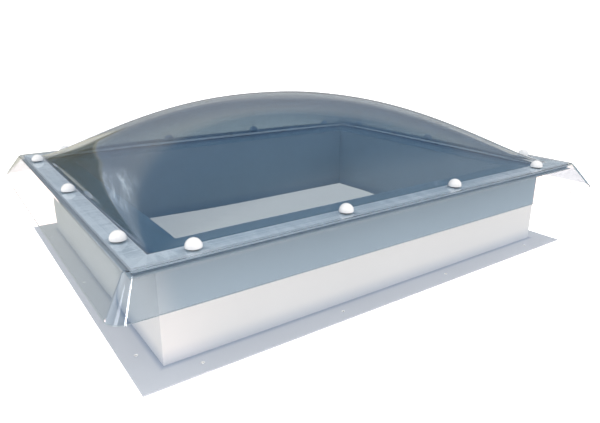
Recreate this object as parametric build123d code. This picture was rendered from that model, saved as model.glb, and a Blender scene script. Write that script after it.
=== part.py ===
from build123d import *
import math
import os

# Rectangular roof skylight: a double-skin clear dome on a vertical upstand kerb with a flat base flange.
# Millimetres. Origin: the centre of the roof opening in plan, on the underside of the base flange.
# X runs along the long sides, Y along the short sides, Z up.
# "o" below is a distance outwards from the outer face of the kerb wall, the same on all four sides.

# ---- driving dimensions ----
open_x = 1200.0            # clear opening, long way
open_y = 900.0             # clear opening, short way
wall = 76.0                # kerb wall, inner to outer face
base_out = 72.0            # base flange beyond the wall
base_t = 4.0               # base flange plate
kerb_top = 262.0           # height of the kerb's flat top
lip_out = 72.0             # top lip beyond the wall
lip_t = 3.0                # lip plate
profile_skin = 3.0         # outer skins of the hollow kerb profile
profile_web = 2.0          # its inner webs
profile_rows = 5           # closed chambers, one above the other
gasket_t = 4.3             # compressed foam seal
gasket_in = 22.0
gasket_out = 63.0
skin_t = 3.0               # both dome skins
ring_in = 18.6             # spacer ring, inner edge
ring_out = 66.0            # spacer ring and inner skin, outer edge
ring_t = 8.0
bend_out = 82.0            # rim of the outer skin turns down here
bend_r = 10.0
bend_corner_r = 18.0       # plan corner radius at the bend
skirt_out = 134.4          # lower edge of the drip skirt
skirt_z = 204.8
skirt_corner_r = 35.0      # plan corner radius at the skirt's lower edge
outer_rise = 222.4         # outer bulge above its flat rim
inner_rise = 216.0
inner_inset = 8.0          # foot of the inner bulge, inside that of the outer one
fix_o = 43.0               # line of the dome screws
fix_long = (-606.0, -205.5, 193.5, 594.0)   # positions along the long sides; the row sits a little off centre
fix_short = (-439.0, 8.0, 455.0)            # positions along the short sides
base_fix_o = 36.0          # line of the holes in the base flange
base_fix_long = (-600.0, -200.0, 200.0, 600.0)
base_fix_short = (-450.0, 0.0, 450.0)
base_hole_r = 3.0
base_mouth_r = 4.0         # small countersink at the top of each base hole
screw_r = 2.75
rib_w = 16.0               # rib under the lip that the screws bite in
rib_h = 8.0

# ---- derived ----
ox = open_x / 2 + wall     # outer face of the wall, half sizes
oy = open_y / 2 + wall
z_gasket = kerb_top
z_inner = z_gasket + gasket_t          # underside of the inner skin's rim
z_ring = z_inner + skin_t
z_outer = z_ring + ring_t              # underside of the outer skin's rim
z_top = z_outer + skin_t               # top of the outer skin's rim


def slab(o, z0, z1, corner=0.0):
    # solid block with the plan outline at distance o from the wall, between two heights
    w, d = 2 * (ox + o), 2 * (oy + o)
    outline = RectangleRounded(w, d, corner) if corner > 0 else Rectangle(w, d)
    return Pos(0, 0, z0) * extrude(outline, z1 - z0)


def frame(o_in, o_out, z0, z1, corner=0.0):
    return slab(o_out, z0, z1, corner) - slab(o_in, z0 - 1, z1 + 1)


def places(o, along_long, along_short):
    # the 14 fixing positions on a line at distance o from the wall
    out = [(v, y) for y in (-(oy + o), oy + o) for v in along_long]
    out += [(x, v) for x in (-(ox + o), ox + o) for v in along_short]
    return out


def pegs(points, r, z0, z1):
    return [Pos(x, y, z0) * Cylinder(r, z1 - z0, align=(Align.CENTER, Align.CENTER, Align.MIN)) for x, y in points]


dome_points = places(fix_o, fix_long, fix_short)
base_points = places(base_fix_o, base_fix_long, base_fix_short)


# ---- base flange: flat plate frame, with a countersunk hole at each fixing ----
base_flange = frame(-wall, base_out, 0, base_t, 0.0)
base_cuts = pegs(base_points, base_hole_r, -1, base_t + 1)
base_cuts += [
    Pos(x, y, base_t - 1.0) * Cone(base_hole_r, base_mouth_r, 1.0, align=(Align.CENTER, Align.CENTER, Align.MIN))
    for x, y in base_points
]
base_flange = base_flange - base_cuts

# ---- kerb: hollow profile with closed chambers and a top lip, four lengths mitred and welded at the corners ----
far = 200.0


def wedges(back=0.0):
    # plan areas of the four sides, parted along the corner mitres: front, right, back, left
    w, d, mid = ox + far, oy + far, ox - oy
    t = back * math.sqrt(2)        # distance kept from the mitre, measured along X
    return [
        Polygon((-w + t, -d), (w - t, -d), (mid - t, 0), (-mid + t, 0), align=None),
        Polygon((w, -d + t), (w, d - t), (mid + t, 0), align=None),
        Polygon((w - t, d), (-w + t, d), (-mid + t, 0), (mid - t, 0), align=None),
        Polygon((-w, d - t), (-w, -d + t), (-mid - t, 0), align=None),
    ]


def four_sides(shape, z0, z1):
    # a frame parted at its mitres into four straight lengths
    return [(shape & (Pos(0, 0, z0 - 1) * extrude(area, z1 - z0 + 2))).solids()[0] for area in wedges()]


inside_h = kerb_top - base_t - 2 * profile_skin
chamber_h = (inside_h - (profile_rows - 1) * profile_web) / profile_rows
kerb_profile = frame(-wall, 0, base_t, kerb_top)
kerb_profile += frame(-wall, lip_out, kerb_top - lip_t, kerb_top)
kerb_profile += frame(fix_o - rib_w / 2, fix_o + rib_w / 2, kerb_top - lip_t - rib_h, kerb_top - lip_t)
kerb_profile -= pegs(dome_points, screw_r, kerb_top - lip_t - rib_h - 1, kerb_top + 1)
kerb_sides = []
for side, area in zip(four_sides(kerb_profile, base_t, kerb_top), wedges(back=profile_skin)):
    for row in range(profile_rows):
        z = base_t + profile_skin + row * (chamber_h + profile_web)
        side -= frame(-wall + profile_skin, -profile_skin, z, z + chamber_h) & (Pos(0, 0, z - 1) * extrude(area, chamber_h + 2))
    kerb_sides.append(side.solids()[0])
kerb = Compound(children=kerb_sides)

# ---- foam seal on the lip, four strips ----
kerb_gasket = Compound(children=four_sides(
    frame(gasket_in, gasket_out, z_gasket, z_inner) - pegs(dome_points, 3.0, z_gasket - 1, z_inner + 1), z_gasket, z_inner,
))

# ---- spacer ring between the two skins, four bars mitred at the corners ----
spacer_ring = Compound(children=four_sides(
    frame(ring_in, ring_out, z_ring, z_outer) - pegs(dome_points, 3.5, z_ring - 1, z_outer + 1), z_ring, z_outer,
))


# ---- the bulge of a skin ----
# Height over the flat rim: rise * A(x) * B(y), each factor 1 in the middle and 0 at the foot. The foot runs into
# the rim with no step in slope, so the whole skin is one smooth sheet.
long_p, long_q = 2.223, 0.821
short_p, short_q = 2.262, 0.518
foot = 8.0                 # width over which the foot rounds into the rim


def factor(s, half, p, q):
    t = max(0.0, 1.0 - abs(s / half) ** p)
    k = p * foot / half
    return (t * t ** 3 / (t ** 3 + k ** 3)) ** q


def factor_slope(s, half, p, q):
    e = 1e-3
    lo, hi = max(-half, s - e), min(half, s + e)
    return (factor(hi, half, p, q) - factor(lo, half, p, q)) / (hi - lo)


def stations(half, n):
    # closer together near the two feet
    out = []
    for i in range(-n, n + 1):
        s = i / n
        out.append(half * (s + 0.9 * math.sin(math.pi * s) / math.pi))
    out[0], out[-1] = -half, half
    return out


def bulge(half_x, half_y, z_rim_top, rise, n=32):
    xs, ys = stations(half_x, n), stations(half_y, n)
    top, bottom = [], []
    for y in ys:
        edge_y = abs(y) == half_y
        b, db = (0.0, 0.0) if edge_y else (factor(y, half_y, short_p, short_q), factor_slope(y, half_y, short_p, short_q))
        row_t, row_b = [], []
        for x in xs:
            if edge_y or abs(x) == half_x:
                row_t.append((x, y, z_rim_top))
                row_b.append((x, y, z_rim_top - skin_t))
                continue
            a = factor(x, half_x, long_p, long_q)
            da = factor_slope(x, half_x, long_p, long_q)
            z = z_rim_top + rise * a * b
            nx, ny, nz = -rise * da * b, -rise * a * db, 1.0
            m = math.sqrt(nx * nx + ny * ny + nz * nz)
            row_t.append((x, y, z))
            row_b.append((x - skin_t * nx / m, y - skin_t * ny / m, z - skin_t * nz / m))
        top.append(row_t)
        bottom.append(row_b)
    return (
        Face.make_surface_from_array_of_points(top, tol=0.02, min_deg=3, max_deg=5),
        Face.make_surface_from_array_of_points(bottom, tol=0.02, min_deg=3, max_deg=5),
    )


def skin_solid(half_x, half_y, z_rim_top, rise):
    top, bottom = bulge(half_x, half_y, z_rim_top, rise)
    faces = [top, bottom]
    z0, z1 = z_rim_top - skin_t, z_rim_top
    c = [(-half_x, -half_y), (half_x, -half_y), (half_x, half_y), (-half_x, half_y)]
    for i in range(4):
        (x0, y0), (x1, y1) = c[i], c[(i + 1) % 4]
        faces.append(Face(Wire.make_polygon([(x0, y0, z0), (x1, y1, z0), (x1, y1, z1), (x0, y0, z1)])))
    shell = Face.sew_faces(faces)[0]
    solid = Solid(Shell(shell))
    return solid


# ---- inner skin: bulge and a flat rim clamped under the spacer ring ----
inner_hx, inner_hy = ox + ring_in - inner_inset, oy + ring_in - inner_inset
inner_bulge = skin_solid(inner_hx, inner_hy, z_ring, inner_rise)
inner_rim = slab(ring_out, z_inner, z_ring) - Pos(0, 0, z_inner - 1) * extrude(Rectangle(2 * inner_hx, 2 * inner_hy), skin_t + 2)
inner_dome = inner_bulge + inner_rim
inner_dome = inner_dome - pegs(dome_points, 4.0, z_inner - 1, z_ring + 1)

# ---- outer skin: bulge, flat rim over the ring, and the drip skirt ----
outer_hx, outer_hy = ox + ring_in, oy + ring_in
lean = math.atan2(skirt_out - bend_out, z_top - skirt_z)
side_t = skin_t / math.cos(lean)


def skirt_block(o_top, r_top, z_hi, o_low, r_low, z_lo):
    hi = Pos(0, 0, z_hi) * RectangleRounded(2 * (ox + o_top), 2 * (oy + o_top), r_top)
    lo = Pos(0, 0, z_lo) * RectangleRounded(2 * (ox + o_low), 2 * (oy + o_low), r_low)
    return Solid.make_loft([lo.face().outer_wire(), hi.face().outer_wire()], ruled=True)


grow = math.tan(lean)
outer_shape = skirt_block(bend_out, bend_corner_r, z_top, skirt_out, skirt_corner_r, skirt_z)
r_slope = (skirt_corner_r - bend_corner_r) / (z_top - skirt_z)
dz = 5.0                   # the inner block runs on below the skirt's edge
inner_shape = skirt_block(
    bend_out + skin_t * grow - side_t, bend_corner_r + skin_t * r_slope - side_t, z_outer,
    skirt_out + dz * grow - side_t, skirt_corner_r + dz * r_slope - side_t, skirt_z - dz,
)
top_edges = outer_shape.edges().filter_by(lambda e: abs(e.bounding_box().min.Z - z_top) < 1e-6 and abs(e.bounding_box().max.Z - z_top) < 1e-6)
outer_shape = outer_shape.fillet(bend_r, top_edges)
low_edges = inner_shape.edges().filter_by(lambda e: abs(e.bounding_box().min.Z - z_outer) < 1e-6 and abs(e.bounding_box().max.Z - z_outer) < 1e-6)
inner_shape = inner_shape.fillet(bend_r - skin_t, low_edges)
outer_rim = outer_shape - inner_shape
outer_rim = outer_rim - Pos(0, 0, z_outer - 1) * extrude(Rectangle(2 * outer_hx, 2 * outer_hy), skin_t + 2)
outer_bulge = skin_solid(outer_hx, outer_hy, z_top, outer_rise)
outer_dome = outer_bulge + outer_rim
outer_dome = outer_dome - pegs(dome_points, 4.0, z_outer - 1, z_top + 1)

# ---- fixings, one set at each of the 14 points ----
washer_r, washer_t = 13.5, 3.0         # black sealing washer
cap_r, cap_h = 18.6, 20.0              # round cap, slightly taller than a half ball
cap_wall = 1.5
cup_r, cup_floor, cup_h = 15.0, 2.0, 5.0
head_z = z_top + washer_t + cup_floor  # underside of the screw's head
screw_end = kerb_top - lip_t - rib_h - 4.0


def turned(points, closed=True):
    # solid of revolution about Z from a section in the XZ plane
    return revolve(make_face(Polyline(*[(r, 0, z) for r, z in points], close=True)), Axis.Z)


def washer_shape():
    z = z_top
    return turned([(3.25, z), (washer_r, z), (washer_r, z + washer_t - 0.6), (washer_r - 0.6, z + washer_t), (3.25, z + washer_t)])


def cup_shape():
    z = z_top + washer_t
    return turned([
        (screw_r, z), (cup_r, z), (cup_r, z + cup_h), (cup_r - 2.0, z + cup_h), (cup_r - 2.0, z + cup_floor), (screw_r, z + cup_floor),
    ])


def screw_shape():
    h = head_z
    shank = turned([(0, screw_end), (screw_r, screw_end + 4.0), (screw_r, h), (5.5, h), (5.5, h + 1.2), (0, h + 1.2)])
    hexagon = Pos(0, 0, h + 1.2) * extrude(RegularPolygon(4.0, 6, major_radius=False), 4.3)
    crown = turned([(0, h), (3.4, h), (5.2, h + 4.4), (5.2, h + 1.2 + 3.4), (3.6, h + 5.5), (0, h + 5.5)])
    return shank + (hexagon & Pos(0, 0, h + 1.2) * Cone(6.4, 3.9, 4.3, align=(Align.CENTER, Align.CENTER, Align.MIN)))


def cap_shape():
    # half ball on a short straight foot, 1.5 thick over the top, thicker round the foot where it grips the cup
    z, foot_h = z_top + washer_t, cap_h - cap_r

    def thimble(r):
        ball = Pos(0, 0, foot_h) * (Sphere(r) & Pos(0, 0, r) * Box(4 * r, 4 * r, 2 * r))
        return ball + Cylinder(r, foot_h, align=(Align.CENTER, Align.CENTER, Align.MIN))

    bore = Cylinder(cup_r, 2 * cap_h, align=(Align.CENTER, Align.CENTER, Align.MIN))
    return Pos(0, 0, z) * (thimble(cap_r) - (thimble(cap_r - cap_wall) & bore))


def at_points(shape):
    return Compound(children=[Pos(x, y, 0) * Solid(shape.solids()[0].wrapped) for x, y in dome_points])


os.makedirs("parts", exist_ok=True)
nodes = {
    "base_flange": base_flange,
    "kerb": kerb,
    "kerb_gasket": kerb_gasket,
    "inner_dome": inner_dome,
    "spacer_ring": spacer_ring,
    "outer_dome": outer_dome,
    "seal_washers": at_points(washer_shape()),
    "cap_bases": at_points(cup_shape()),
    "dome_screws": at_points(screw_shape()),
    "screw_caps": at_points(cap_shape()),
}
for name, shape in nodes.items():
    solids = shape.solids()
    out = solids[0] if len(solids) == 1 else Compound(children=list(solids))
    export_step(out, f"parts/{name}.step")
    bb = out.bounding_box()
    print(f"{name}: {len(solids)} solids, valid {out.is_valid}, volume {sum(s.volume for s in solids):.0f}, z {bb.min.Z:.2f} to {bb.max.Z:.2f}")
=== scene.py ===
import bpy
import bmesh
import math
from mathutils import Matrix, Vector


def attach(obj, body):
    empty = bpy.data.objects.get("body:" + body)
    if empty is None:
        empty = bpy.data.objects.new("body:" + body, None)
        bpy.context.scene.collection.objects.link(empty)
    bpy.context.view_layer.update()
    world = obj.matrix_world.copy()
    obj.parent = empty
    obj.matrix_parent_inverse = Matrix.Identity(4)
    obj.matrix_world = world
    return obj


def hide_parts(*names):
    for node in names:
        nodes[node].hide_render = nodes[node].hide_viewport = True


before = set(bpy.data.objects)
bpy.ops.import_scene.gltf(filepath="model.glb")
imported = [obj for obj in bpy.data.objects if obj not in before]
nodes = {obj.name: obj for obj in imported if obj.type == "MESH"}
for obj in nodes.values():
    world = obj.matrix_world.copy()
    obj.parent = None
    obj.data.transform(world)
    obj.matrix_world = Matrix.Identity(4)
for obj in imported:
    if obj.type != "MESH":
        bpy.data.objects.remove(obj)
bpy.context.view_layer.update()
scene = bpy.context.scene

# ------------------------------------------------------------------ sizes, as in the model (metres)
OX, OY = 0.676, 0.526            # outer face of the kerb wall, half sizes
Z_INNER, Z_RING, Z_OUTER, Z_TOP = 0.2663, 0.2693, 0.2773, 0.2803
SKIN = 0.003
RING_IN, RING_OUT = 0.0186, 0.066
INNER_INSET = 0.008
BEND_OUT, BEND_R, BEND_CORNER = 0.082, 0.010, 0.018
SKIRT_OUT, SKIRT_Z, SKIRT_CORNER = 0.1344, 0.2048, 0.035
OUTER_RISE, INNER_RISE = 0.2223, 0.2160
FIX_O = 0.043
FIX = [(v, y) for y in (-(OY + FIX_O), OY + FIX_O) for v in (-0.606, -0.2055, 0.1935, 0.594)]
FIX += [(x, v) for x in (-(OX + FIX_O), OX + FIX_O) for v in (-0.439, 0.008, 0.455)]
BASE = [(v, y) for y in (-(OY + 0.036), OY + 0.036) for v in (-0.6, -0.2, 0.2, 0.6)]
BASE += [(x, v) for x in (-(OX + 0.036), OX + 0.036) for v in (-0.45, 0.0, 0.45)]


# ------------------------------------------------------------------ camera and view
def make_camera():
    yaw, pitch = math.radians(34.904), math.radians(18.518)
    cam = bpy.data.objects.new("camera", bpy.data.cameras.new("camera"))
    cam.data.sensor_width = 36.0
    cam.data.sensor_fit = "HORIZONTAL"
    cam.data.lens = 31.945
    cam.data.clip_start, cam.data.clip_end = 0.05, 200.0
    cam.location = (-1.0020, -1.5136, 0.6943)
    look = Vector((math.sin(yaw) * math.cos(pitch), math.cos(yaw) * math.cos(pitch), -math.sin(pitch)))
    cam.rotation_mode = "QUATERNION"
    cam.rotation_quaternion = look.to_track_quat("-Z", "Y")
    scene.collection.objects.link(cam)
    scene.camera = cam


make_camera()
scene.view_settings.view_transform = "Standard"
scene.view_settings.look = "None"
scene.view_settings.exposure = 0.0
scene.view_settings.gamma = 1.0
scene.cycles.use_denoising = True
scene.cycles.max_bounces = 24
scene.cycles.transmission_bounces = 20
scene.cycles.glossy_bounces = 6
scene.cycles.diffuse_bounces = 4
scene.cycles.transparent_max_bounces = 40
scene.cycles.caustics_reflective = False
scene.cycles.caustics_refractive = False


# ------------------------------------------------------------------ node helpers
def tree_of(id_block):
    id_block.use_nodes = True
    nt = id_block.node_tree
    nt.nodes.clear()
    return nt


def add(nt, kind, **values):
    n = nt.nodes.new(kind)
    for k, v in values.items():
        if hasattr(n, k):
            setattr(n, k, v)
        else:
            n.inputs[k.replace("_", " ")].default_value = v
    return n


def math_node(nt, op, a, b=None, clamp=False):
    n = nt.nodes.new("ShaderNodeMath")
    n.operation = op
    n.use_clamp = clamp
    for i, v in enumerate((a, b)):
        if v is None:
            continue
        if isinstance(v, (int, float)):
            n.inputs[i].default_value = v
        else:
            nt.links.new(v, n.inputs[i])
    return n.outputs[0]


def ramp(nt, fac, stops, interpolation="LINEAR"):
    n = nt.nodes.new("ShaderNodeValToRGB")
    n.color_ramp.interpolation = interpolation
    e = n.color_ramp.elements
    while len(e) > 1:
        e.remove(e[-1])
    e[0].position, e[0].color = stops[0][0], (*stops[0][1], 1)
    for p, c in stops[1:]:
        s = e.new(p)
        s.color = (*c, 1)
    nt.links.new(fac, n.inputs[0])
    return n.outputs[0]


# ------------------------------------------------------------------ world: soft light from all round, dimmer from the left
def seen_ray(nt):
    """1 for rays that come from the eye straight or through clear skins only, else 0."""
    path = nt.nodes.new("ShaderNodeLightPath")
    dd = math_node(nt, "LESS_THAN", path.outputs["Diffuse Depth"], 0.5)
    gg = math_node(nt, "LESS_THAN", path.outputs["Glossy Depth"], 0.5)
    return math_node(nt, "MULTIPLY", dd, gg), path


def smooth(nt, v, lo, hi, a=0.0, b=1.0):
    n = nt.nodes.new("ShaderNodeMapRange")
    n.interpolation_type = "SMOOTHSTEP"
    n.inputs["From Min"].default_value = lo
    n.inputs["From Max"].default_value = hi
    n.inputs["To Min"].default_value = a
    n.inputs["To Max"].default_value = b
    nt.links.new(v, n.inputs["Value"])
    return n.outputs[0]


def blend(nt, fac, a, b):
    """Colour mix; a and b are sockets or plain colours."""
    n = nt.nodes.new("ShaderNodeMix")
    n.data_type = "RGBA"
    if isinstance(fac, (int, float)):
        n.inputs[0].default_value = fac
    else:
        nt.links.new(fac, n.inputs[0])
    for i, c in ((6, a), (7, b)):
        if isinstance(c, tuple):
            n.inputs[i].default_value = (*c, 1)
        else:
            nt.links.new(c, n.inputs[i])
    return n.outputs[2]


def make_world():
    w = bpy.data.worlds.new("studio")
    scene.world = w
    nt = tree_of(w)
    seen, path = seen_ray(nt)
    coord = nt.nodes.new("ShaderNodeTexCoord")
    sep = nt.nodes.new("ShaderNodeSeparateXYZ")
    nt.links.new(coord.outputs["Generated"], sep.inputs[0])
    dx, dy, dz = sep.outputs
    el = math_node(nt, "MULTIPLY", math_node(nt, "ARCSINE", dz), 180.0 / math.pi)
    az = math_node(nt, "MULTIPLY", math_node(nt, "ARCTAN2", dx, dy), 180.0 / math.pi)
    # what the skins mirror: a pale band along the horizon and dim blue-grey above it
    lifted = math_node(nt, "SUBTRACT", el, smooth(nt, az, 25.0, 65.0, 0.0, 4.5))
    sky = ramp(nt, math_node(nt, "DIVIDE", lifted, 90.0), [
        (0.0, (0.33, 0.335, 0.345)), (3 / 90, (0.36, 0.365, 0.375)), (5 / 90, (0.48, 0.49, 0.50)), (8 / 90, (0.36, 0.37, 0.385)),
        (11 / 90, (0.40, 0.405, 0.42)), (15 / 90, (0.30, 0.31, 0.35)), (20 / 90, (0.33, 0.33, 0.36)), (25 / 90, (0.38, 0.365, 0.365)),
        (28.5 / 90, (0.27, 0.28, 0.31)), (30.8 / 90, (0.12, 0.16, 0.23)), (50 / 90, (0.05, 0.09, 0.16)), (65 / 90, (0.05, 0.09, 0.15)), (1.0, (0.08, 0.12, 0.18))])
    # a soft pale cloud back left, over a low warm strip
    drift = nt.nodes.new("ShaderNodeTexNoise")
    drift.inputs["Scale"].default_value = 9.0
    drift.inputs["Detail"].default_value = 5.0
    drift.inputs["Roughness"].default_value = 0.6
    drift.inputs["Distortion"].default_value = 0.6
    nt.links.new(coord.outputs["Generated"], drift.inputs["Vector"])
    puff = math_node(nt, "MULTIPLY_ADD", smooth(nt, drift.outputs["Fac"], 0.44, 0.64), 0.85)
    puff.node.inputs[2].default_value = 0.15
    cloud = math_node(nt, "MULTIPLY", smooth(nt, az, -22.0, -15.0), smooth(nt, az, -5.0, -10.0))
    cloud = math_node(nt, "MULTIPLY", cloud, math_node(nt, "MULTIPLY", smooth(nt, el, 15.0, 18.5), smooth(nt, el, 30.0, 22.0)))
    mirror = blend(nt, math_node(nt, "MULTIPLY", cloud, puff), sky, (1.9, 1.95, 2.0))
    left = math_node(nt, "MULTIPLY", smooth(nt, az, -50.0, -34.0), smooth(nt, az, 10.0, 6.5))
    fall = math_node(nt, "MINIMUM", math_node(nt, "MAXIMUM", math_node(nt, "MULTIPLY_ADD", az, -0.73), 10.4), 17.5)
    fall.node.inputs[0].links[0].from_node.inputs[0].links[0].from_node.inputs[2].default_value = 12.9
    edge = math_node(nt, "SUBTRACT", fall, el)
    mirror = blend(nt, math_node(nt, "MULTIPLY", left, smooth(nt, edge, -0.3, 0.3)), mirror, (0.135, 0.115, 0.06))
    rim = math_node(nt, "MULTIPLY", smooth(nt, edge, -0.5, 0.1), smooth(nt, edge, 0.9, 0.3))
    mirror = blend(nt, math_node(nt, "MULTIPLY", math_node(nt, "MULTIPLY", left, rim), 0.4), mirror, (0.62, 0.56, 0.42))
    strip = math_node(nt, "MULTIPLY", left, smooth(nt, math_node(nt, "SUBTRACT", smooth(nt, az, -4.0, 3.0, 7.0, 10.6), el), 0.0, 3.0))
    mirror = blend(nt, strip, mirror, (0.75, 0.70, 0.58))
    # bright at the left and in front
    beside = math_node(nt, "MULTIPLY", smooth(nt, az, -34.0, -50.0), smooth(nt, el, 60.0, 20.0))
    mirror = blend(nt, beside, mirror, (1.7, 1.72, 1.76))
    front = smooth(nt, dy, 0.1, -0.65)
    mirror = blend(nt, front, mirror, (0.45, 0.47, 0.50))
    shiny = nt.nodes.new("ShaderNodeBackground")
    nt.links.new(mirror, shiny.inputs["Color"])
    # what lights the surfaces
    side = math_node(nt, "MULTIPLY", smooth(nt, dx, 0.1, -0.7), smooth(nt, dz, 0.95, 0.3))
    soft = nt.nodes.new("ShaderNodeBackground")
    nt.links.new(blend(nt, side, (1.0, 1.0, 1.0), (0.95, 0.94, 0.93)), soft.inputs["Color"])
    soft.inputs["Strength"].default_value = 1.37
    eye = nt.nodes.new("ShaderNodeBackground")
    eye.inputs["Color"].default_value = (1, 1, 1, 1)
    level = math_node(nt, "MULTIPLY_ADD", path.outputs["Is Camera Ray"], 1.2)
    level.node.inputs[2].default_value = 0.8
    nt.links.new(level, eye.inputs["Strength"])
    m1 = nt.nodes.new("ShaderNodeMixShader")
    nt.links.new(math_node(nt, "GREATER_THAN", path.outputs["Diffuse Depth"], 0.5), m1.inputs[0])
    nt.links.new(shiny.outputs[0], m1.inputs[1])
    nt.links.new(soft.outputs[0], m1.inputs[2])
    m2 = nt.nodes.new("ShaderNodeMixShader")
    nt.links.new(seen, m2.inputs[0])
    nt.links.new(m1.outputs[0], m2.inputs[1])
    nt.links.new(eye.outputs[0], m2.inputs[2])
    out = nt.nodes.new("ShaderNodeOutputWorld")
    nt.links.new(m2.outputs[0], out.inputs[0])


make_world()


def make_lights():
    # a small lamp in front for the glints on caps and on the skirt's corner, and a wide soft one on the left for fainter streaks
    for name, d, size, energy in (("glint", (-0.19, -0.71, 0.68), 0.7, 22.0), ("side", (-0.77, -0.30, 0.57), 1.2, 16.0)):
        d = Vector(d).normalized()
        lamp = bpy.data.lights.new(name, "AREA")
        lamp.shape = "DISK"
        lamp.size = size
        lamp.energy = energy
        lamp.color = (1.0, 0.985, 0.99)
        o = bpy.data.objects.new(name, lamp)
        o.location = Vector((-0.3, -0.3, 0.25)) + d * 3.6
        o.rotation_mode = "QUATERNION"
        o.rotation_quaternion = (-d).to_track_quat("-Z", "Y")
        o.visible_diffuse = False
        scene.collection.objects.link(o)


make_lights()


# floor emission colours seen through the skins: painted light round the part, dimmer far out, painted shade inside the
# opening
FLOOR_NEAR, FLOOR_LEFT, FLOOR_FAR, FLOOR_IN = (5.0, 3.15, 2.4), (3.9, 2.9, 2.6), (1.8, 1.45, 1.12), (1.06, 0.95, 0.87)


def make_floor():
    bm = bmesh.new()
    bmesh.ops.create_grid(bm, x_segments=1, y_segments=1, size=60.0)
    me = bpy.data.meshes.new("floor")
    bm.to_mesh(me)
    bm.free()
    o = bpy.data.objects.new("floor", me)
    o.location.z = -0.0005
    scene.collection.objects.link(o)
    mat = bpy.data.materials.new("floor_pale")
    nt = tree_of(mat)
    seen, path = seen_ray(nt)
    geo = nt.nodes.new("ShaderNodeNewGeometry")
    sep = nt.nodes.new("ShaderNodeSeparateXYZ")
    nt.links.new(geo.outputs["Position"], sep.inputs[0])
    inx = math_node(nt, "LESS_THAN", math_node(nt, "ABSOLUTE", sep.outputs[0]), 0.66)
    iny = math_node(nt, "LESS_THAN", math_node(nt, "ABSOLUTE", sep.outputs[1]), 0.51)
    inside = math_node(nt, "MULTIPLY", inx, iny)
    # painted light: the floor's emission, seen through the skins, is brighter and warmer round the part and softer far
    # away, and darker inside the opening as painted shade; seen straight it is an even white
    r2 = math_node(nt, "ADD", math_node(nt, "POWER", sep.outputs[0], 2.0), math_node(nt, "POWER", sep.outputs[1], 2.0))
    r = math_node(nt, "SQRT", r2)
    beside = blend(nt, smooth(nt, sep.outputs[0], 0.5, -0.5), FLOOR_NEAR, FLOOR_LEFT)
    tone = blend(nt, smooth(nt, r, 1.90, 2.04), beside, FLOOR_FAR)
    tone = blend(nt, path.outputs["Is Camera Ray"], tone, (2.2, 2.2, 2.2))
    tone = blend(nt, inside, tone, FLOOR_IN)
    em = nt.nodes.new("ShaderNodeEmission")
    nt.links.new(tone, em.inputs["Color"])
    em.inputs["Strength"].default_value = 1.0
    # painted shade: the floor inside the opening is darker for bounced light
    dif = nt.nodes.new("ShaderNodeBsdfDiffuse")
    nt.links.new(blend(nt, inside, (0.85, 0.85, 0.85), (0.42, 0.42, 0.42)), dif.inputs["Color"])
    # painted reflection: the floor as the skins mirror it is dim near the part and bright far out
    dim = nt.nodes.new("ShaderNodeEmission")
    out_left = smooth(nt, sep.outputs[0], -0.9, -1.5)
    out_front = smooth(nt, sep.outputs[1], -0.9, -1.3)
    out_right = smooth(nt, sep.outputs[0], 1.0, 1.5)
    outer = math_node(nt, "MAXIMUM", out_left, math_node(nt, "MAXIMUM", out_front, out_right))
    nt.links.new(blend(nt, outer, (0.40, 0.41, 0.42), (1.5, 1.5, 1.5)), dim.inputs["Color"])
    split = nt.nodes.new("ShaderNodeMixShader")
    nt.links.new(math_node(nt, "LESS_THAN", path.outputs["Diffuse Depth"], 0.5), split.inputs[0])
    nt.links.new(dif.outputs[0], split.inputs[1])
    nt.links.new(dim.outputs[0], split.inputs[2])
    both = nt.nodes.new("ShaderNodeMixShader")
    nt.links.new(seen, both.inputs[0])
    nt.links.new(split.outputs[0], both.inputs[1])
    nt.links.new(em.outputs[0], both.inputs[2])
    out = nt.nodes.new("ShaderNodeOutputMaterial")
    nt.links.new(both.outputs[0], out.inputs[0])
    me.materials.append(mat)


make_floor()


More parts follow.
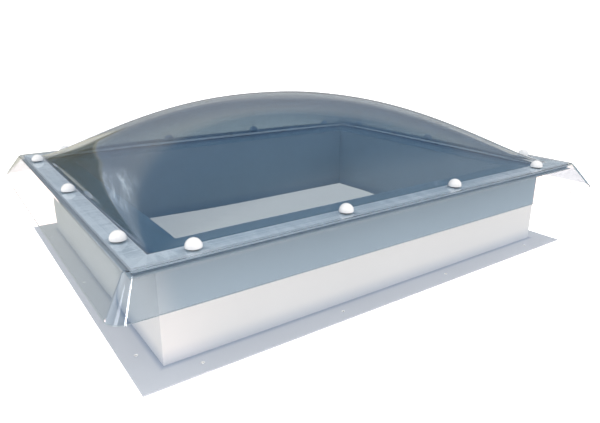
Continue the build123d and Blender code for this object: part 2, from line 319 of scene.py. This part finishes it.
# ------------------------------------------------------------------ materials
def plastic(name, base, rough, vary=0.03, speck=900.0, bump=0.00004, cloud=6.0, streak=None, spec=0.5, coat=0.0):
    """Moulded or extruded plastic: slow clouding of the colour, fine skin texture, optional drawn streaks."""
    mat = bpy.data.materials.new(name)
    nt = tree_of(mat)
    coord = nt.nodes.new("ShaderNodeTexCoord")
    p = nt.nodes.new("ShaderNodeBsdfPrincipled")
    out = nt.nodes.new("ShaderNodeOutputMaterial")
    nt.links.new(p.outputs[0], out.inputs[0])
    slow = nt.nodes.new("ShaderNodeTexNoise")
    slow.inputs["Scale"].default_value = cloud
    slow.inputs["Detail"].default_value = 4.0
    slow.inputs["Roughness"].default_value = 0.55
    nt.links.new(coord.outputs["Object"], slow.inputs["Vector"])
    lo = tuple(max(0.0, c * (1 - vary)) for c in base)
    hi = tuple(min(1.0, c * (1 + vary)) for c in base)
    col = ramp(nt, slow.outputs["Fac"], [(0.3, lo), (0.7, hi)])
    nt.links.new(col, p.inputs["Base Color"])
    fine = nt.nodes.new("ShaderNodeTexNoise")
    fine.inputs["Scale"].default_value = speck
    fine.inputs["Detail"].default_value = 2.0
    nt.links.new(coord.outputs["Object"], fine.inputs["Vector"])
    height = fine.outputs["Fac"]
    if streak is not None:
        mapping = nt.nodes.new("ShaderNodeMapping")
        mapping.inputs["Scale"].default_value = streak
        nt.links.new(coord.outputs["Object"], mapping.inputs["Vector"])
        drawn = nt.nodes.new("ShaderNodeTexNoise")
        drawn.inputs["Scale"].default_value = 1.0
        drawn.inputs["Detail"].default_value = 3.0
        nt.links.new(mapping.outputs[0], drawn.inputs["Vector"])
        height = math_node(nt, "ADD", height, math_node(nt, "MULTIPLY", drawn.outputs["Fac"], 0.8))
    b = nt.nodes.new("ShaderNodeBump")
    b.inputs["Strength"].default_value = 0.35
    b.inputs["Distance"].default_value = bump
    nt.links.new(height, b.inputs["Height"])
    nt.links.new(b.outputs[0], p.inputs["Normal"])
    r = math_node(nt, "MULTIPLY_ADD", slow.outputs["Fac"], 0.12)
    r.node.inputs[2].default_value = rough - 0.06
    nt.links.new(r, p.inputs["Roughness"])
    p.inputs["Specular IOR Level"].default_value = spec
    if coat:
        p.inputs["Coat Weight"].default_value = coat
        p.inputs["Coat Roughness"].default_value = 0.08
    return mat


def clear_skin(name, tint, seed, light=0.93, skirt_light=None):
    """Clear moulded sheet with a faint blue-grey tint, very slightly uneven as blown sheet is. Lamps and bounced light pass it straight."""
    mat = bpy.data.materials.new(name)
    nt = tree_of(mat)
    coord = nt.nodes.new("ShaderNodeTexCoord")
    p = nt.nodes.new("ShaderNodeBsdfPrincipled")
    p.inputs["Base Color"].default_value = (*tint, 1)
    # painted shade: low on the skirt, except at its left end, the tint is deeper and bluer, so what shows through it
    # looks darker
    if skirt_light is not None:
        place = nt.nodes.new("ShaderNodeSeparateXYZ")
        nt.links.new(coord.outputs["Object"], place.inputs[0])
        hang = math_node(nt, "MULTIPLY", smooth(nt, place.outputs[2], 0.274, 0.262), smooth(nt, place.outputs[0], -0.735, -0.66))
        nt.links.new(blend(nt, hang, tint, tuple(c * k for c, k in zip(tint, (0.75, 0.83, 0.89)))), p.inputs["Base Color"])
    p.inputs["Transmission Weight"].default_value = 1.0
    p.inputs["IOR"].default_value = 1.49
    p.inputs["Roughness"].default_value = 0.0
    wave = nt.nodes.new("ShaderNodeTexNoise")
    wave.noise_dimensions = "4D"
    wave.inputs["W"].default_value = seed
    wave.inputs["Scale"].default_value = 5.0
    wave.inputs["Detail"].default_value = 2.0
    nt.links.new(coord.outputs["Object"], wave.inputs["Vector"])
    b = nt.nodes.new("ShaderNodeBump")
    b.inputs["Strength"].default_value = 0.25
    b.inputs["Distance"].default_value = 0.00006
    up = nt.nodes.new("ShaderNodeSeparateXYZ")
    nt.links.new(coord.outputs["Object"], up.inputs[0])
    nt.links.new(math_node(nt, "MULTIPLY", wave.outputs["Fac"], smooth(nt, up.outputs[2], 0.284, 0.34)), b.inputs["Height"])
    nt.links.new(b.outputs[0], p.inputs["Normal"])
    path = nt.nodes.new("ShaderNodeLightPath")
    t = nt.nodes.new("ShaderNodeBsdfTransparent")
    if skirt_light is None:
        t.inputs["Color"].default_value = (*[math.sqrt(c * light) for c in tint], 1)
    else:
        sep = nt.nodes.new("ShaderNodeSeparateXYZ")
        nt.links.new(coord.outputs["Object"], sep.inputs[0])
        low = math_node(nt, "LESS_THAN", sep.outputs[2], 0.272)
        nt.links.new(blend(nt, low, tuple(math.sqrt(c * light) for c in tint), tuple(math.sqrt(c * skirt_light) for c in tint)), t.inputs["Color"])
    m1 = nt.nodes.new("ShaderNodeMixShader")
    nt.links.new(path.outputs["Is Diffuse Ray"], m1.inputs[0])
    nt.links.new(p.outputs[0], m1.inputs[1])
    nt.links.new(t.outputs[0], m1.inputs[2])
    m2 = nt.nodes.new("ShaderNodeMixShader")
    nt.links.new(path.outputs["Is Shadow Ray"], m2.inputs[0])
    nt.links.new(m1.outputs[0], m2.inputs[1])
    nt.links.new(t.outputs[0], m2.inputs[2])
    out = nt.nodes.new("ShaderNodeOutputMaterial")
    nt.links.new(m2.outputs[0], out.inputs[0])
    return mat


TINT = (0.64, 0.72, 0.785)
M_KERB = plastic("kerb_white_pvc", (0.80, 0.80, 0.80), 0.38, vary=0.012, speck=700, bump=0.00005, cloud=3.0, streak=(2.0, 2.0, 220.0))
M_FLANGE = plastic("flange_grey_pvc", (0.63, 0.665, 0.73), 0.42, vary=0.02, speck=800, bump=0.00006, cloud=4.0)


def paint_flange_shade_and_light(mat):
    """Painted shade: a dark blue-grey band along the foot of the walls. Painted light: pale discs round the drilled
    holes, so the hole walls read lit rather than shaded.
    """
    nt = mat.node_tree
    p = nt.nodes["Principled BSDF"]
    base = p.inputs["Base Color"].links[0].from_socket
    coord = nt.nodes.new("ShaderNodeTexCoord")
    sep = nt.nodes.new("ShaderNodeSeparateXYZ")
    nt.links.new(coord.outputs["Object"], sep.inputs[0])
    ox = math_node(nt, "SUBTRACT", math_node(nt, "ABSOLUTE", sep.outputs[0]), OX)
    oy = math_node(nt, "SUBTRACT", math_node(nt, "ABSOLUTE", sep.outputs[1]), OY)
    away = math_node(nt, "MAXIMUM", ox, oy)
    # painted shade along the foot of the walls, on the flange's top face
    foot_shade = math_node(nt, "MULTIPLY", smooth(nt, away, 0.016, 0.001), math_node(nt, "GREATER_THAN", sep.outputs[2], 0.0036))
    base = blend(nt, foot_shade, base, (0.40, 0.46, 0.57))
    near = None
    for cx, cy in BASE:
        d2 = math_node(nt, "ADD", math_node(nt, "POWER", math_node(nt, "SUBTRACT", sep.outputs[0], cx), 2.0),
                       math_node(nt, "POWER", math_node(nt, "SUBTRACT", sep.outputs[1], cy), 2.0))
        near = d2 if near is None else math_node(nt, "MINIMUM", near, d2)
    # painted light: pale discs of 4.5 mm radius round the drilled holes
    base = blend(nt, math_node(nt, "LESS_THAN", near, 0.0045 ** 2), base, (0.98, 0.98, 0.98))
    nt.links.new(base, p.inputs["Base Color"])


paint_flange_shade_and_light(M_FLANGE)


def paint_kerb_shade(mat):
    """Painted shade: the top face near and inside the ring is darker grey-blue, darkest by the ring, and a faint
    painted shade runs along the foot of the walls.
    """
    nt = mat.node_tree
    p = nt.nodes["Principled BSDF"]
    base = p.inputs["Base Color"].links[0].from_socket
    coord = nt.nodes.new("ShaderNodeTexCoord")
    sep = nt.nodes.new("ShaderNodeSeparateXYZ")
    nt.links.new(coord.outputs["Object"], sep.inputs[0])
    # painted shade along the foot of the walls, up to 50 mm high
    base = blend(nt, smooth(nt, sep.outputs[2], 0.050, 0.004), base, (0.63, 0.66, 0.71))
    ox = math_node(nt, "SUBTRACT", math_node(nt, "ABSOLUTE", sep.outputs[0]), OX)
    oy = math_node(nt, "SUBTRACT", math_node(nt, "ABSOLUTE", sep.outputs[1]), OY)
    away = math_node(nt, "MAXIMUM", ox, oy)
    # painted shade on the top face, darker towards the ring
    top = math_node(nt, "MULTIPLY", math_node(nt, "GREATER_THAN", sep.outputs[2], 0.2612), math_node(nt, "LESS_THAN", away, 0.030))
    tone = blend(nt, smooth(nt, away, -0.022, 0.008), (0.50, 0.565, 0.60), (0.36, 0.42, 0.50))
    nt.links.new(blend(nt, top, base, tone), p.inputs["Base Color"])


paint_kerb_shade(M_KERB)


def ring_painted_glow(mat):
    """Painted glow: the ring's inner face is given a warm emission, so it looks lighter than its surroundings."""
    nt = mat.node_tree
    p = nt.nodes["Principled BSDF"]
    coord = nt.nodes.new("ShaderNodeTexCoord")
    sep = nt.nodes.new("ShaderNodeSeparateXYZ")
    nt.links.new(coord.outputs["Object"], sep.inputs[0])
    ox = math_node(nt, "SUBTRACT", math_node(nt, "ABSOLUTE", sep.outputs[0]), OX)
    oy = math_node(nt, "SUBTRACT", math_node(nt, "ABSOLUTE", sep.outputs[1]), OY)
    inner = math_node(nt, "LESS_THAN", math_node(nt, "MAXIMUM", ox, oy), RING_IN + 0.0006)
    # painted glow: warm emission of strength 0.5 on the ring's inner face
    p.inputs["Emission Color"].default_value = (1.0, 0.80, 0.62, 1)
    nt.links.new(math_node(nt, "MULTIPLY", inner, 0.5), p.inputs["Emission Strength"])
M_RING = plastic("ring_pale_pvc", (0.84, 0.845, 0.86), 0.35, vary=0.012, speck=900, bump=0.00004, cloud=5.0)
ring_painted_glow(M_RING)
# painted light: the seal foam is given a pale blue-grey, much lighter than dark foam, so its band in the shade under
# the lip reads lighter
M_SEAL = plastic("seal_foam_painted_light", (0.52, 0.58, 0.66), 0.85, vary=0.15, speck=450, bump=0.0004, cloud=40.0, spec=0.2)
M_WASHER = plastic("washer_black_rubber", (0.022, 0.022, 0.024), 0.55, vary=0.15, speck=600, bump=0.0001, cloud=60.0, spec=0.3)
M_CAP = plastic("cap_white_gloss", (0.84, 0.84, 0.85), 0.2, vary=0.01, speck=500, bump=0.00002, cloud=30.0, coat=0.3)
M_SCREW = plastic("screw_zinc", (0.6, 0.61, 0.62), 0.35, vary=0.08, speck=1500, bump=0.00003, cloud=200.0)
M_SCREW.node_tree.nodes["Principled BSDF"].inputs["Metallic"].default_value = 1.0
M_OUTER = clear_skin("outer_skin_clear", TINT, 1.7, skirt_light=0.35)
M_INNER = clear_skin("inner_skin_clear", TINT, 8.3)


def sawn_edge(name):
    """Sawn edge and drilled holes of the sheet: matt and pale."""
    mat = bpy.data.materials.new(name)
    nt = tree_of(mat)
    coord = nt.nodes.new("ShaderNodeTexCoord")
    saw = nt.nodes.new("ShaderNodeTexNoise")
    saw.inputs["Scale"].default_value = 900.0
    nt.links.new(coord.outputs["Object"], saw.inputs["Vector"])
    p = nt.nodes.new("ShaderNodeBsdfPrincipled")
    nt.links.new(ramp(nt, saw.outputs["Fac"], [(0.3, (0.74, 0.78, 0.80)), (0.7, (0.84, 0.87, 0.89))]), p.inputs["Base Color"])
    p.inputs["Roughness"].default_value = 0.6
    out = nt.nodes.new("ShaderNodeOutputMaterial")
    nt.links.new(p.outputs[0], out.inputs[0])
    return mat


M_EDGE = sawn_edge("sawn_skin_edge")
M_EDGE_IN = plastic("inner_skin_edge", (0.26, 0.31, 0.36), 0.3, vary=0.05, speck=900, bump=0.00003, cloud=20.0)


# ------------------------------------------------------------------ clear skins
def factor(s, half, p, q, foot=0.008):
    t = max(0.0, 1.0 - abs(s / half) ** p)
    k = p * foot / half
    return (t * t ** 3 / (t ** 3 + k ** 3)) ** q


def slope(s, half, p, q):
    e = 1e-5
    lo, hi = max(-half, s - e), min(half, s + e)
    return (factor(hi, half, p, q) - factor(lo, half, p, q)) / (hi - lo)


def stations(half, n):
    out = []
    for i in range(-n, n + 1):
        s = i / n
        out.append(half * (s + 0.85 * math.sin(math.pi * s) / math.pi))
    out[0], out[-1] = -half, half
    return out


def rounded_loop(hx, hy, r, per_corner, n_long, n_short):
    """Points round a rounded rectangle, counter-clockwise, starting at the right end of the front side."""
    out = []
    corners = [(hx - r, -hy + r, -90), (hx - r, hy - r, 0), (-hx + r, hy - r, 90), (-hx + r, -hy + r, 180)]
    for k, (cx, cy, a0) in enumerate(corners):
        for i in range(per_corner + 1):
            a = math.radians(a0 + 90.0 * i / per_corner)
            out.append((cx + r * math.cos(a), cy + r * math.sin(a)))
        nx, ny, _ = corners[(k + 1) % 4]
        a = math.radians(a0 + 90)
        x0, y0 = cx + r * math.cos(a), cy + r * math.sin(a)
        x1, y1 = nx + r * math.cos(a), ny + r * math.sin(a)
        steps = n_short if k % 2 == 0 else n_long
        for i in range(1, steps):
            out.append((x0 + (x1 - x0) * i / steps, y0 + (y1 - y0) * i / steps))
    return out


def skin_mesh(name, hx, hy, z_rim, rise, profile, n=56, holes_r=0.004):
    """A closed sheet: bulge over the rectangle hx, hy, a flat rim, and loops beyond it. profile is a list of (o, z, corner r) on the top
    side from the outer end of the flat rim down to the edge, and the same for the underside."""
    bm = bmesh.new()
    xs, ys = stations(hx, n), stations(hy, n)
    sides = []
    for side in (0, 1):
        grid = []
        for y in ys:
            edge = abs(y) == hy
            b = 0.0 if edge else factor(y, hy, 2.262, 0.518)
            db = 0.0 if edge else slope(y, hy, 2.262, 0.518)
            row = []
            for x in xs:
                if edge or abs(x) == hx:
                    row.append(bm.verts.new((x, y, z_rim - SKIN * side)))
                    continue
                a, da = factor(x, hx, 2.223, 0.821), slope(x, hx, 2.223, 0.821)
                nrm = Vector((-rise * da * b, -rise * a * db, 1.0)).normalized()
                row.append(bm.verts.new(Vector((x, y, z_rim + rise * a * b)) - nrm * (SKIN * side)))
            grid.append(row)
        for j in range(2 * n):
            for i in range(2 * n):
                q = (grid[j][i], grid[j][i + 1], grid[j + 1][i + 1], grid[j + 1][i])
                bm.faces.new(q if side == 0 else q[::-1])
        rim = [grid[0][i] for i in range(2 * n)] + [grid[j][2 * n] for j in range(2 * n)]
        rim += [grid[2 * n][i] for i in range(2 * n, 0, -1)] + [grid[j][0] for j in range(2 * n, 0, -1)]
        loops = []
        for o, z, r in profile[side]:
            pts = rounded_loop(OX + o, OY + o, r, 14, 60, 46)
            loops.append([bm.verts.new((px, py, z)) for px, py in pts])
        for a, b in zip(loops, loops[1:]):
            m = len(a)
            for i in range(m):
                q = (a[i], b[i], b[(i + 1) % m], a[(i + 1) % m])
                bm.faces.new(q if side == 0 else q[::-1])
        circles = []
        for cx, cy in FIX:
            circles.append([
                bm.verts.new((cx + holes_r * math.cos(2 * math.pi * i / 24), cy + holes_r * math.sin(2 * math.pi * i / 24), z_rim - SKIN * side))
                for i in range(24)
            ])
        edges = []
        for ring in [rim, loops[0]] + circles:
            for i in range(len(ring)):
                a, b = ring[i], ring[(i + 1) % len(ring)]
                edges.append(bm.edges.get((a, b)) or bm.edges.new((a, b)))
        made = bmesh.ops.triangle_fill(bm, use_beauty=True, edges=edges, normal=(0, 0, 1 if side == 0 else -1))
        flat = [f for f in made["geom"] if isinstance(f, bmesh.types.BMFace)]
        bmesh.ops.recalc_face_normals(bm, faces=flat)
        if flat and sum(f.normal.z * f.calc_area() for f in flat) * (1 if side == 0 else -1) < 0:
            bmesh.ops.reverse_faces(bm, faces=flat)
        sides.append((loops, circles))
    (top, ctop), (low, clow) = sides
    a, b = top[-1], low[-1]
    m = len(a)
    sharp = []
    for i in range(m):
        bm.faces.new((a[i], b[i], b[(i + 1) % m], a[(i + 1) % m])).material_index = 1
        sharp += [(a[i], a[(i + 1) % m]), (b[i], b[(i + 1) % m])]
    for ca, cb in zip(ctop, clow):
        for i in range(24):
            j = (i + 1) % 24
            bm.faces.new((ca[j], cb[j], cb[i], ca[i])).material_index = 1
            sharp += [(ca[i], ca[j]), (cb[i], cb[j])]
    for f in bm.faces:
        f.smooth = True
    for p, q in sharp:
        e = bm.edges.get((p, q))
        if e is not None:
            e.smooth = False
    me = bpy.data.meshes.new(name)
    bm.to_mesh(me)
    bm.free()
    o = bpy.data.objects.new(name, me)
    scene.collection.objects.link(o)
    return o


def outer_profile():
    lean = math.atan2(SKIRT_OUT - BEND_OUT, Z_TOP - SKIRT_Z)
    turn = math.pi / 2 - lean
    start = BEND_OUT - BEND_R * math.tan(turn / 2)
    zc = Z_TOP - BEND_R
    both = []
    for side in (0, 1):
        r = BEND_R - SKIN * side
        pts = []
        for i in range(11):
            a = turn * i / 10
            pts.append((start + r * math.sin(a), zc + r * math.cos(a)))
        o1, z1 = pts[-1]
        o2, z2 = (SKIRT_OUT, SKIRT_Z) if side == 0 else (SKIRT_OUT - SKIN / math.cos(lean), SKIRT_Z)
        for i in range(1, 9):
            pts.append((o1 + (o2 - o1) * i / 8, z1 + (z2 - z1) * i / 8))
        grow = (SKIRT_CORNER - BEND_CORNER) / (Z_TOP - SKIRT_Z)
        both.append([(o, z, max(0.004, BEND_CORNER + (Z_TOP - z) * grow - (0.003 if side else 0.0) - (BEND_OUT - o if o < BEND_OUT else 0.0))) for o, z in pts])
    return both


outer = skin_mesh("outer_dome_shell", OX + RING_IN, OY + RING_IN, Z_TOP, OUTER_RISE, outer_profile())
outer.data.materials.append(M_OUTER)
outer.data.materials.append(M_EDGE)
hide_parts("outer_dome")
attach(outer, "root")

inner = skin_mesh(
    "inner_dome_shell", OX + RING_IN - INNER_INSET, OY + RING_IN - INNER_INSET, Z_RING, INNER_RISE,
    ([(RING_OUT, Z_RING, 0.0015)], [(RING_OUT, Z_INNER, 0.0015)]),
)
inner.data.materials.append(M_INNER)
inner.data.materials.append(M_EDGE_IN)
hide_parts("inner_dome")
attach(inner, "root")


# ------------------------------------------------------------------ turned fixings
def lathe(name, profile, points, mat, segs=48, sharp_deg=40.0):
    """One mesh of separate turned solids: profile is a closed outline of (radius, z), with points on the axis allowed."""
    bm = bmesh.new()
    for cx, cy in points:
        rings = []
        for r, z in profile:
            if r < 1e-7:
                rings.append([bm.verts.new((cx, cy, z))])
            else:
                rings.append([bm.verts.new((cx + r * math.cos(2 * math.pi * i / segs), cy + r * math.sin(2 * math.pi * i / segs), z)) for i in range(segs)])
        k = len(rings)
        pairs = [(rings[i], rings[(i + 1) % k]) for i in range(k)]
        for a, b in pairs:
            if len(a) == 1 and len(b) == 1:
                continue
            for i in range(segs):
                j = (i + 1) % segs
                q = [a[i % len(a)], a[j % len(a)], b[j % len(b)], b[i % len(b)]]
                u = []
                for v in q:
                    if v not in u:
                        u.append(v)
                bm.faces.new(u)
    bmesh.ops.recalc_face_normals(bm, faces=bm.faces)
    for f in bm.faces:
        f.smooth = True
    for e in bm.edges:
        if len(e.link_faces) == 2 and e.calc_face_angle(0.0) > math.radians(sharp_deg):
            e.smooth = False
    me = bpy.data.meshes.new(name)
    bm.to_mesh(me)
    bm.free()
    o = bpy.data.objects.new(name, me)
    scene.collection.objects.link(o)
    me.materials.append(mat)
    return o


def arc(cx, cz, r, a0, a1, n):
    return [(max(0.0, cx + r * math.cos(math.radians(a0 + (a1 - a0) * i / n))), cz + r * math.sin(math.radians(a0 + (a1 - a0) * i / n))) for i in range(n + 1)]


Z_CAP = Z_TOP + 0.003
CAP_R, CAP_H = 0.0186, 0.0200
FOOT = CAP_H - CAP_R
cap_out = [(0.0150, Z_CAP), (0.0182, Z_CAP), (0.01855, Z_CAP + 0.0003)] + arc(0, Z_CAP + FOOT, CAP_R, 0, 90, 24)
cap_in = arc(0, Z_CAP + FOOT, CAP_R - 0.0015, 90, 28.71, 14)
caps = lathe("screw_caps_round", cap_out + cap_in, FIX, M_CAP)
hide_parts("screw_caps")
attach(caps, "root")

wash = lathe("seal_washers_round", [
    (0.00325, Z_TOP), (0.0133, Z_TOP), (0.0135, Z_TOP + 0.0002), (0.0135, Z_TOP + 0.0022), (0.0132, Z_TOP + 0.0027),
    (0.0127, Z_TOP + 0.003), (0.00325, Z_TOP + 0.003)], FIX, M_WASHER)
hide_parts("seal_washers")
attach(wash, "root")

# ------------------------------------------------------------------ CAD pieces that stay
for name, mat in (
    ("base_flange", M_FLANGE), ("kerb", M_KERB), ("kerb_gasket", M_SEAL), ("spacer_ring", M_RING), ("cap_bases", M_CAP), ("dome_screws", M_SCREW),
):
    o = nodes[name]
    o.data.materials.clear()
    o.data.materials.append(mat)
